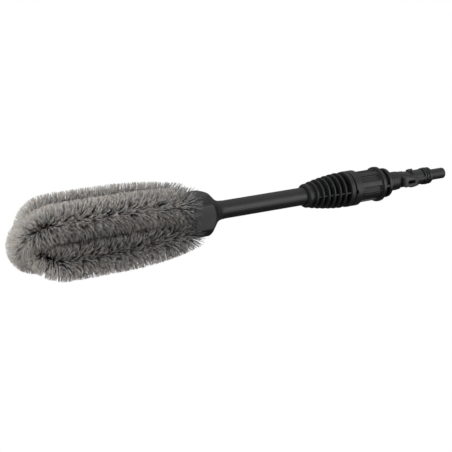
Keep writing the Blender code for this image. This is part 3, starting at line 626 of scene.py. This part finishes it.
def strand_layout(count, length, sides):
    """UVs of every face corner: one upright strip per filament, its sides on top of each other."""
    strip_aspect, gap = 3.0, 0.04
    edge, cap_edge, cap_height, last_cap = 0.15, 0.2, 0.04, 0.94
    columns = max(1, math.ceil(math.sqrt(strip_aspect * count)))
    rows = math.ceil(count / columns)
    left = (np.arange(count) % columns) / columns
    foot = (np.arange(count) // columns) / rows
    quads = []
    for k in range(length - 1):
        low, high = k / (length - 1), (k + 1) / (length - 1)
        quads += [[(edge, low), (1 - edge, low), (1 - edge, high), (edge, high)]] * sides
    caps = [[(cap_edge, v), (1 - cap_edge, v), (0.5, v + cap_height)] for v in (0.0, last_cap)]

    def placed(cells):
        """The cells' corners in every filament's strip, a little inside its foot and head."""
        cells = np.array(cells)[None]
        u = left[:, None, None] + cells[..., 0] / columns
        v = foot[:, None, None] + (gap + (1 - 2 * gap) * cells[..., 1]) / rows
        return np.stack([u, v], axis=-1).reshape(-1, 2)
    return np.concatenate([placed(quads), placed(caps)]).astype(np.float32)


def strands(name, lines, radii, stations, tone, shade, painted_root_light, spin):
    """Closed three-sided filaments along lines of shape (count, stations, 3) in mm.

    The mesh carries what the filament material reads at each point: along runs from 0 at the
    root to 1 at the tip, tone from cool to warm, and shade is how light the filament is, painted
    shade included. The root light is how far a filament's root is painted lighter, towards the
    colour of its tip: painted light in the nose, where the roots lie in shade.
    """
    sides = 3
    count, length = lines.shape[:2]
    run = lines[:, -1] - lines[:, 0]
    run /= np.linalg.norm(run, axis=1)[:, None]
    helper = np.where(np.abs(run[:, 2:]) < 0.8, [[0.0, 0.0, 1.0]], [[1.0, 0.0, 0.0]])
    one = np.cross(run, helper)
    one /= np.linalg.norm(one, axis=1)[:, None]
    two = np.cross(run, one)
    points = np.empty((count, length * sides, 3))
    for k in range(length):
        for corner in range(sides):
            angle = spin + 2 * math.pi * corner / sides
            points[:, k * sides + corner] = lines[:, k] + radii[k] * (
                np.cos(angle)[:, None] * one + np.sin(angle)[:, None] * two)
    quads, ends = [], [(2, 1, 0), tuple((length - 1) * sides + c for c in range(sides))]
    for k in range(length - 1):
        for corner in range(sides):
            n = (corner + 1) % sides
            a, b = k * sides, (k + 1) * sides
            quads.append((a + corner, a + n, b + n, b + corner))
    offsets = (np.arange(count) * length * sides)[:, None, None]
    quads = (np.array(quads)[None] + offsets).reshape(-1, 4)
    ends = (np.array(ends)[None] + offsets).reshape(-1, 3)
    mesh = bpy.data.meshes.new(name)
    corners = np.concatenate([quads.ravel(), ends.ravel()])
    sizes = np.concatenate([np.full(len(quads), 4), np.full(len(ends), 3)])
    mesh.vertices.add(count * length * sides)
    mesh.vertices.foreach_set("co", to_metres(points.reshape(-1, 3)).ravel())
    mesh.loops.add(len(corners))
    mesh.loops.foreach_set("vertex_index", corners.astype(np.int32))
    mesh.polygons.add(len(sizes))
    starts = np.concatenate([[0], np.cumsum(sizes)[:-1]])
    mesh.polygons.foreach_set("loop_start", starts.astype(np.int32))
    mesh.polygons.foreach_set("use_smooth", np.ones(len(sizes), bool))
    mesh.update(calc_edges=True)
    mesh.validate()
    layout = mesh.uv_layers.new(name="OFBake")
    layout.data.foreach_set("uv", strand_layout(count, length, sides).ravel())
    # Painted light: along starts higher at the nose roots, so they take a lighter colour.
    along = 1.0 - np.outer(1.0 - painted_root_light, 1.0 - stations)
    for label, values in (
            ("along", np.repeat(along, sides, axis=1).ravel()),
            ("tone", np.repeat(tone, length * sides)),
            ("shade", np.repeat(shade, length * sides))):
        attribute = mesh.attributes.new(label, "FLOAT", "POINT")
        attribute.data.foreach_set("value", values.astype(np.float32))
    bm = bmesh.new()
    bm.from_mesh(mesh)
    if bm.calc_volume(signed=True) < 0:
        bmesh.ops.reverse_faces(bm, faces=bm.faces)
        bm.to_mesh(mesh)
    bm.free()
    made = bpy.data.objects.new(name, mesh)
    bpy.context.scene.collection.objects.link(made)
    return made


def brush_head():
    """Both loops: the outer one in front at the nose, the inner one a quarter turn round."""
    outer_partings = [(112.0, 0.05, 0.9), (250.0, 0.1, 0.0)]
    outer_splits = [
        (154.0, 1.7, 0.05, 0.44), (162.2, 1.8, 0.07, 0.46), (170.4, 2.2, 0.12, 0.54),
        (178.0, 1.8, 0.10, 0.66), (185.0, 1.7, 0.10, 0.92),
    ]
    inner_partings = [(70.0, 0.12, 0.56), (198.5, 0.09, -0.56), (258.0, 0.17, -0.56)]
    inner_splits = [(197.0, 2.2, 0.08, 0.93), (205.5, 1.8, 0.07, 0.97)]
    # Painted shade: a darker stripe on the lower row, where the upper row overhangs it.
    inner_shaded_stripes = [(200.0, 1.1, 0.38)]
    for label, apex_x, turn, partings, splits, shaded_stripes, seed in (
            ("outer", OUTER_APEX_X, OUTER_LOOP_TURN, outer_partings, outer_splits, [], 7),
            ("inner", INNER_APEX_X, INNER_LOOP_TURN, inner_partings, inner_splits,
             inner_shaded_stripes, 11)):
        wire = twisted_wire(f"twisted_wire_{label}", apex_x, turn)
        finish_with(wire, zinc_wire, "zinc_wire", "handle", f"wire_{label}_loop")
        pieces = bristles(label, apex_x, turn, partings, splits, shaded_stripes, seed)
        for piece in pieces:
            finish_with(piece, filament, "bristle_grey", "handle")
        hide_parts(f"bristles_{label}_loop")


# ---------------------------------------------------------------- hub and shaft

def flatted_round_radius(turn, flat):
    """Radius of a cylinder with four flats and slightly rounded edges."""
    flat_half_turn, softness = 30.0, 110.0
    total = (math.cos(math.radians(flat_half_turn)) / flat) ** softness
    for middle in range(0, 360, 90):
        reach = math.cos(math.radians(turn - middle)) / flat
        if reach > 0:
            total += reach ** softness
    return total ** (-1.0 / softness)


def hub():
    """The shell with four flats, its chamfer cut by a cone, and the neck round the tube.

    In the pocket a corner's radius is a part of the flatted round's. In the prism the surface
    follows the flatted round or the cone, whichever is nearer the axis.
    """
    front, rear = SHELL_LOW.x, SHELL_HIGH.x
    flat = (SHELL_HIGH.z - SHELL_LOW.z) / 2
    wall_inside, front_edge, edge_length, pocket_x = 0.84, 0.97, 0.8, -52.0
    cone_radius, slope, cone_softness = 30.0, 1.0, 40.0
    neck_x, neck_radius, neck_start, neck_steps, flare = -35.4, 13.0, 0.4, 12, 2.4
    chamfer_x = neck_x - (cone_radius - neck_radius) / slope
    bore, lip = TUBE_RADIUS + 0.05, TUBE_RADIUS + 0.22
    corners = [
        (front, wall_inside, 0, "pocket"), (front, front_edge, 0, "pocket"),
        (front + edge_length, 1.0, 0, "prism"), (chamfer_x, 1.0, 0, "prism"),
        (neck_x, 1.0, 0, "prism"),
    ]
    for step in range(neck_steps + 1):
        t = step / neck_steps
        x = neck_x + neck_start + (rear - neck_x - neck_start) * t
        corners.append((x, lip + (neck_radius - lip) * (1 - t) ** flare, 0, ""))
    corners += [
        (rear, bore, 0, ""), (pocket_x, bore, 0, ""), (pocket_x, wall_inside, 0, "pocket"),
    ]
    outline = with_stations(filleted(corners), "prism", 0.5)

    def shape(x, radius, tag, turn):
        if tag == "pocket":
            return radius * flatted_round_radius(turn, flat)
        if tag == "prism":
            cone = neck_radius + (neck_x - x) * slope
            prism = flatted_round_radius(turn, flat)
            both = cone ** -cone_softness + prism ** -cone_softness
            return both ** (-1.0 / cone_softness)
        return radius

    piece = turned("hub_moulding", outline, turns_round(288), shape)
    finish_with(piece, black_plastic, "black_plastic", "handle", "hub_shell")


def shaft():
    """The water tube, with slightly rounded ends."""
    bore = 7.2
    corners = [
        (TUBE_LOW.x, bore, 0, ""), (TUBE_LOW.x, TUBE_RADIUS, 0.4, ""),
        (TUBE_HIGH.x, TUBE_RADIUS, 0.4, ""), (TUBE_HIGH.x, bore, 0, ""),
    ]
    piece = turned("water_tube", filleted(corners), turns_round(128))
    finish_with(piece, tube_plastic, "tube_plastic", "handle", "shaft_tube")


# ---------------------------------------------------------------- ribbed grip

GRIP_COLLAR_RADIUS = (GRIP_HIGH.y - GRIP_LOW.y) / 2
GRIP_NOSE_RADIUS = 12.0
GRIP_CORE_RADIUS = 10.9
GRIP_REAR_X = 129.8
FIN_COUNT = 6
FIN_FIRST_X = 84.6
FIN_PITCH = 6.6
WEB_TURN = 2.1


def grip_radius(x):
    """The flared outline that the fins' rims follow."""
    along = (x - GRIP_LOW.x) / (GRIP_REAR_X - GRIP_LOW.x)
    return GRIP_COLLAR_RADIUS - (GRIP_COLLAR_RADIUS - GRIP_NOSE_RADIUS) * (1 - along) ** 1.85


def ribbed_grip():
    """The grip: a front lip, six fins joined by a thin web, the collar and the threaded stub."""
    front, half_fin, fin_taper, collar_x = GRIP_LOW.x, 0.95, 0.15, 124.6
    bore, web_depth = TUBE_RADIUS + 0.25, 1.5
    stub_radius, socket_radius, socket_x = 14.0, 8.6, 131.0
    waterway_radius, tube_stop_x = 6.0, 114.0
    corners = [
        (front, bore, 0, ""), (front, 11.6, 0.5, ""), (front + 1.1, 12.4, 0.8, ""),
        (front + 4.2, 12.6, 0.9, ""), (front + 4.5, GRIP_CORE_RADIUS, 0, "gap 1"),
    ]
    for number in range(FIN_COUNT):
        x = FIN_FIRST_X + FIN_PITCH * number
        radius = grip_radius(x)
        corners += [
            (x - half_fin - fin_taper, GRIP_CORE_RADIUS, 0, f"gap {number + 1}"),
            (x - half_fin + 0.1, radius, 0.55, ""), (x + half_fin - 0.1, radius, 0.55, ""),
            (x + half_fin + fin_taper, GRIP_CORE_RADIUS, 0, f"gap {number + 2}"),
        ]
    corners += [
        (collar_x, GRIP_CORE_RADIUS, 0, f"gap {FIN_COUNT + 1}"),
        (collar_x + 0.2, GRIP_COLLAR_RADIUS - 0.3, 0.7, ""),
        (GRIP_REAR_X, GRIP_COLLAR_RADIUS, 0.7, ""), (GRIP_REAR_X, stub_radius, 0.3, ""),
        (GRIP_HIGH.x, stub_radius, 0.6, ""), (GRIP_HIGH.x, socket_radius, 0, ""),
        (socket_x, socket_radius, 0, ""), (socket_x, waterway_radius, 0, ""),
        (tube_stop_x, waterway_radius, 0, ""), (tube_stop_x, bore, 0, ""),
    ]

    def shape(x, radius, tag, turn):
        """The core rises to a thin web in every gap, front and back."""
        if tag.startswith("gap") and from_key(turn) <= WEB_TURN:
            number = int(tag.split()[1])
            return grip_radius(FIN_FIRST_X + FIN_PITCH * (number - 1.5)) - web_depth
        return radius

    edges = [m + s * WEB_TURN for m in (0.0, 180.0) for s in (-1, 1)]
    piece = turned("grip_moulding", filleted(corners), turns_round(144, edges), shape)
    finish_with(piece, grip_plastic, "grip_plastic", "handle", "ribbed_grip")


# ---------------------------------------------------------------- union nut

def union_nut():
    """The barrel: eight flutes with rounded ends, two flanges, a notch and a tooth."""
    front, rear = NUT_LOW.x, NUT_HIGH.x
    body, depth, spacing, half_turn, flute_turn = 16.3, 1.9, 45.0, 13.2, -3.5
    flute_front, flute_rear, front_corner, rear_corner, wall = 142.0, 165.6, 1.2, 3.0, 0.42
    front_flange, front_flange_end = 18.6, 139.2
    rear_flange, rear_flange_x, rear_flange_end = 18.4, 166.9, 170.5
    groove, groove_x, groove_end, hood = 12.0, 170.6, 176.9, 15.5
    thread, thread_end, bore = 14.35, 153.7, 10.4
    notch_end, notch_turn, notch_floor = 133.0, 6.0, thread + 0.6
    tooth_turn, tooth_radius = 4.5, 14.9
    corners = [
        (front, thread, 0.3, "notch"), (front, front_flange - 0.1, 0.8, "notch"),
        (notch_end, front_flange, 0, "notch"), (notch_end + 0.15, front_flange, 0, ""),
        (front_flange_end, front_flange, 0.5, ""), (front_flange_end + 0.4, body, 0.3, "body"),
        (rear_flange_x - 0.3, body, 0.3, "body"), (rear_flange_x, rear_flange, 0.6, ""),
        (rear_flange_end, rear_flange - 0.1, 0.7, ""), (groove_x, groove, 0.4, "tooth"),
        (groove_end, groove, 0.4, "tooth"), (groove_end + 0.1, hood, 0.6, ""),
        (rear, hood - 0.1, 0.8, ""), (rear, bore, 0.4, ""), (thread_end, bore, 0, ""),
        (thread_end, thread, 0, ""),
    ]
    outline = with_stations(filleted(corners), "body", 0.33)

    def flute(x, turn):
        """How deep the surface lies under the barrel's skin."""
        off = (turn - flute_turn + spacing / 2) % spacing - spacing / 2
        across = math.radians(abs(off) - half_turn) * body
        along = max(flute_front - x, x - flute_rear)
        corner = rear_corner if x > (flute_front + flute_rear) / 2 else front_corner
        beyond = math.hypot(max(across + corner, 0.0), max(along + corner, 0.0))
        outside = beyond + min(max(across, along) + corner, 0.0) - corner
        flat_floor = (body - depth) / math.cos(math.radians(off))
        return (body - flat_floor) * eased(-outside / wall + 0.3)

    def shape(x, radius, tag, turn):
        if tag == "notch" and from_key(turn) <= notch_turn:
            return min(radius, notch_floor)
        if tag == "tooth" and from_key(turn) <= tooth_turn:
            return max(radius, tooth_radius)
        if tag == "body" and flute_front - 1 < x < flute_rear + 1:
            return radius - flute(x, turn)
        return radius

    edges = [m + s * e for m in (0.0, 180.0) for s in (-1, 1) for e in (tooth_turn, notch_turn)]
    piece = turned("nut_moulding", outline, turns_round(320, edges), shape)
    finish_with(piece, black_plastic, "black_plastic", "nut", "union_nut")


# ---------------------------------------------------------------- bayonet adapter

def block(name, x_from, x_to, half, inner, outer, turn, bevel=0.45, ramp_depth=0.0):
    """A rounded block, half wide to both sides, that stands out of the axis at turn."""
    angle = math.radians(turn)
    across = Vector((0.0, -math.cos(angle), math.sin(angle)))
    aside = Vector((1, 0, 0)).cross(across)
    middle = (x_from + x_to) / 2
    outline = [
        (x_from, -half), (middle, -half), (x_to, -half + ramp_depth), (x_to, half), (x_from, half),
    ]
    bm = bmesh.new()
    rings = []
    for radius in (inner, outer):
        ring = []
        for x, width in outline:
            point = Vector((x, 0, AXIS_Z)) + radius * across + width * aside
            ring.append(bm.verts.new(point * MM))
        rings.append(ring)
    count = len(outline)
    for k in range(count):
        n = (k + 1) % count
        bm.faces.new([rings[0][k], rings[0][n], rings[1][n], rings[1][k]])
    for ring in rings:
        bm.faces.new(ring)
    bmesh.ops.recalc_face_normals(bm, faces=bm.faces)
    bmesh.ops.bevel(bm, geom=bm.edges[:], offset=bevel * MM, segments=3, profile=0.5,
                    affect="EDGES", clamp_overlap=True)
    mesh = bpy.data.meshes.new(name)
    bm.to_mesh(mesh)
    bm.free()
    made = bpy.data.objects.new(name, mesh)
    bpy.context.scene.collection.objects.link(made)
    return made


def combined(target, changes):
    """Applies (object, operation) Booleans to target and removes the objects."""
    for other, operation in changes:
        modifier = target.modifiers.new(other.name, "BOOLEAN")
        modifier.operation = operation
        modifier.solver = "EXACT"
        modifier.object = other
    graph = bpy.context.evaluated_depsgraph_get()
    mesh = bpy.data.meshes.new_from_object(target.evaluated_get(graph))
    target.modifiers.clear()
    target.data = mesh
    for other, _ in changes:
        bpy.data.objects.remove(other, do_unlink=True)
    mesh.shade_smooth()
    mesh.set_sharp_from_angle(angle=math.radians(SHARP_ANGLE))
    return target


def bayonet_adapter():
    """The swivel end, ringed stem, two lugs with windows, keys, seal groove and spigot."""
    front, rear = ADAPTER_LOW.x, ADAPTER_HIGH.x
    lug_radius = (ADAPTER_HIGH.y - ADAPTER_LOW.y) / 2
    journal, journal_groove, groove_width, waterway = 8.3, 6.8, 2.4, 4.4
    flange, flange_x, flange_end = 13.6, 148.2, 151.8
    stem, stem_end, ring_x, ring_pitch, ring_depth = 10.0, 197.2, 183.4, 3.3, 0.3
    neck, neck_end, waist = 8.2, 228.6, 6.9
    collar, collar_x, collar_rear_x = 8.9, 230.3, 239.6
    seal_groove, seal_groove_x, seal_groove_end = 6.6, 232.1, 236.7
    shoulder, shoulder_end, spigot, bore = 6.8, 242.7, 5.8, 2.5
    lug_x = 198.1
    lug_end = lug_x + 17.0

    corners = [(front, waterway, 0, ""), (front, journal, 0.5, "")]
    for x in (136.2, 141.4):
        corners += [(x, journal, 0.2, ""), (x, journal_groove, 0.2, ""),
                    (x + groove_width, journal_groove, 0.2, ""), (x + groove_width, journal, 0.2, "")]
    corners += [(flange_x, journal, 0, ""), (flange_x, flange, 0.3, ""),
                (flange_end, flange, 0.3, ""), (flange_end, stem, 0.3, "")]
    for k in range(4):
        x = ring_x + ring_pitch * k
        corners += [(x, stem, 0.15, ""), (x + 0.3, stem - ring_depth, 0.1, ""),
                    (x + 0.7, stem - ring_depth, 0.1, ""), (x + 1.0, stem - 0.08 * k, 0.15, "")]
    corners += [
        (stem_end, stem - 0.35, 0.5, ""), (stem_end + 0.3, neck, 0.3, ""),
        (neck_end, neck, 0.3, ""), (neck_end + 0.2, waist, 0.2, ""),
        (collar_x - 0.1, waist, 0.2, ""), (collar_x, collar, 0.35, ""),
        (seal_groove_x, collar, 0.3, ""), (seal_groove_x, seal_groove, 0.2, ""),
        (seal_groove_end, seal_groove, 0.2, ""), (seal_groove_end, collar, 0.3, ""),
        (collar_rear_x, collar, 0.4, ""), (collar_rear_x + 0.4, shoulder, 0.25, ""),
        (shoulder_end, shoulder, 0.35, ""), (shoulder_end + 0.3, spigot, 0.3, ""),
        (rear, spigot, 1.3, ""), (rear, bore, 0.5, ""), (flange_end, bore, 0, ""),
        (flange_x, waterway, 0, ""),
    ]
    body = turned("adapter_moulding", filleted(corners), turns_round(112))

    root = 5.6
    recess_x, window_x, pocket_x, key_x = 196.0, lug_x + 3.7, 210.6, 213.9
    changes = []
    for number, turn in enumerate((0.0, 180.0), 1):
        changes += [
            (block(f"recess {number}", recess_x, lug_x + 0.3, 5.45, neck, stem + 1, turn, 0.3),
             "DIFFERENCE"),
            (block(f"lug {number}", lug_x, lug_end, 5.15, root, lug_radius, turn,
                   ramp_depth=2.0), "UNION"),
            (block(f"rib {number}", lug_end - 2.5, 231.2, 1.8, root, 9.2, turn, 0.3), "UNION"),
            (block(f"step {number}", lug_end - 2.0, lug_end + 4.5, 2.6, root, 11.4, turn, 0.5),
             "UNION"),
            (block(f"window {number}", window_x, window_x + 9.4, 1.8, 7.0, lug_radius + 5,
                   turn, 0.9), "DIFFERENCE"),
        ]
    for number, turn in enumerate((75.0, 255.0), 1):
        changes += [
            (block(f"pocket {number}", pocket_x, pocket_x + 5.2, 5.2, 6.4, 12.0, turn, 0.3),
             "DIFFERENCE"),
            (block(f"key {number}", key_x, key_x + 5.5, 2.6, root, 9.8, turn + 38.0, 0.5), "UNION"),
        ]
    combined(body, changes)
    finish_with(body, black_plastic, "black_plastic", "adapter", "bayonet_adapter")


def inlet_seal():
    """The inlet O-ring as a round ring, slightly flattened in its groove."""
    middle_x = (SEAL_LOW.x + SEAL_HIGH.x) / 2
    outer = (SEAL_HIGH.z - SEAL_LOW.z) / 2
    inner, half_width, corner_count = 6.75, 2.05, 28
    section = []
    for corner in range(corner_count):
        angle = 2 * math.pi * corner / corner_count
        section.append((middle_x + half_width * math.cos(angle),
                        (outer + inner) / 2 + (outer - inner) / 2 * math.sin(angle), ""))
    piece = turned("inlet_seal", section, turns_round(96))
    finish_with(piece, rubber, "rubber", "adapter", "inlet_o_ring")


# ---------------------------------------------------------------- pieces kept from the frame

def inner_pieces():
    """Hidden pieces keep their CAD shape and get their own material."""
    looks = {
        "hub_front_cap": black_plastic, "wire_clamp_block": grip_plastic, "spray_nozzle": brass,
        "nozzle_o_ring": rubber, "shaft_end_seal": rubber, "swivel_o_ring_1": rubber,
        "swivel_o_ring_2": rubber, "shaft_retaining_clip": steel,
        "swivel_thrust_washer": acetal, "nut_slip_washer": acetal,
    }
    for number in range(1, 5):
        looks[f"wire_ferrule_{number}"] = steel
        looks[f"cap_screw_{number}"] = steel
    for node, look in looks.items():
        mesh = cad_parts[node].data
        mesh.materials.clear()
        mesh.materials.append(look)


# ---------------------------------------------------------------- stage, light and camera

def studio():
    """A white floor that only the camera sees, a dim room and four lamps.

    One lamp is a card that only reflections see, and the other three light without being
    reflected: a bounce from below, and a softbox at the nose and above.
    """
    floor_size, floor_z = 30.0, -0.0002
    bpy.ops.mesh.primitive_plane_add(size=floor_size, location=(0, 0, floor_z))
    floor = bpy.context.object
    floor.name = "floor"
    made, _, shader = new_material("pale_floor")
    shader.inputs["Base Color"].default_value = (0.0, 0.0, 0.0, 1.0)
    shader.inputs["Specular IOR Level"].default_value = 0.0
    shader.inputs["Emission Color"].default_value = (1.0, 1.0, 1.0, 1.0)
    shader.inputs["Emission Strength"].default_value = 1.0
    floor.data.materials.append(made)
    floor.visible_diffuse = floor.visible_glossy = floor.visible_shadow = False

    world = bpy.data.worlds.new("studio")
    bpy.context.scene.world = world
    world.use_nodes = True
    tree = world.node_tree
    height = add(tree, "ShaderNodeSeparateXYZ")
    tree.links.new(add(tree, "ShaderNodeTexCoord").outputs["Generated"], height.inputs[0])
    half = add(tree, "ShaderNodeMath", operation="MULTIPLY_ADD")
    half.inputs[1].default_value = half.inputs[2].default_value = 0.5
    tree.links.new(height.outputs["Z"], half.inputs[0])
    room = ramp(tree, half.outputs[0], [
        (0.0, grey(0.06)), (0.45, grey(0.10)), (0.62, grey(0.30)), (0.8, grey(0.42)),
        (1.0, grey(0.52))])
    background = tree.nodes["Background"]
    tree.links.new(room.outputs["Color"], background.inputs["Color"])
    background.inputs["Strength"].default_value = 1.0

    middle = Vector((0.0, 0.0, AXIS_Z * MM))
    for name, toward, distance, width, length, energy, seen_by in (
            ("reflected card", Vector((0.56, -0.83, 0.06)), 1.5, 1.3, 1.3, 7.0, "glossy"),
            ("floor bounce", Vector((-0.10, -0.45, -0.85)), 1.5, 1.6, 1.6, 6.2, "diffuse"),
            ("nose softbox", Vector((-0.90, -0.35, 0.30)), 1.7, 1.2, 1.0, 44.0, "diffuse"),
            ("top softbox", Vector((-0.10, -0.10, 1.0)), 1.5, 1.6, 1.2, 8.8, "diffuse")):
        lamp = bpy.data.lights.new(name, "AREA")
        lamp.shape = "RECTANGLE"
        lamp.size, lamp.size_y = width, length
        lamp.energy = energy
        placed = bpy.data.objects.new(name, lamp)
        placed.visible_diffuse = seen_by == "diffuse"
        placed.visible_glossy = seen_by == "glossy"
        place = middle + toward.normalized() * distance
        placed.location = place
        placed.rotation_mode = "QUATERNION"
        placed.rotation_quaternion = (middle - place).to_track_quat("-Z", "Y")
        bpy.context.scene.collection.objects.link(placed)


def camera():
    """Looks down on the brush from its nose end, as a long lens would."""
    azimuth, elevation = math.radians(-32.75), math.radians(15.0)
    back = Vector((math.sin(azimuth) * math.cos(elevation),
                   -math.cos(azimuth) * math.cos(elevation), math.sin(elevation)))
    roll = -0.43
    turn = (-back).to_track_quat("-Z", "Y") @ Quaternion((0, 0, 1), math.radians(roll))
    up = turn @ Vector((0.0, 1.0, 0.0))
    distance, drop = 1.700, 0.0169
    aim = Vector((-0.0194, 0.0, AXIS_Z * MM))
    data = bpy.data.cameras.new("camera")
    data.sensor_width, data.lens = 36.0, 135.4
    data.clip_start, data.clip_end = 0.05, 100.0
    made = bpy.data.objects.new("camera", data)
    made.location = aim + back * distance - up * drop
    made.rotation_mode = "QUATERNION"
    made.rotation_quaternion = turn
    bpy.context.scene.collection.objects.link(made)
    bpy.context.scene.camera = made


camera()
brush_head()
hub()
shaft()
ribbed_grip()
union_nut()
bayonet_adapter()
inlet_seal()
inner_pieces()
studio()
bpy.context.scene.view_settings.view_transform = "Standard"
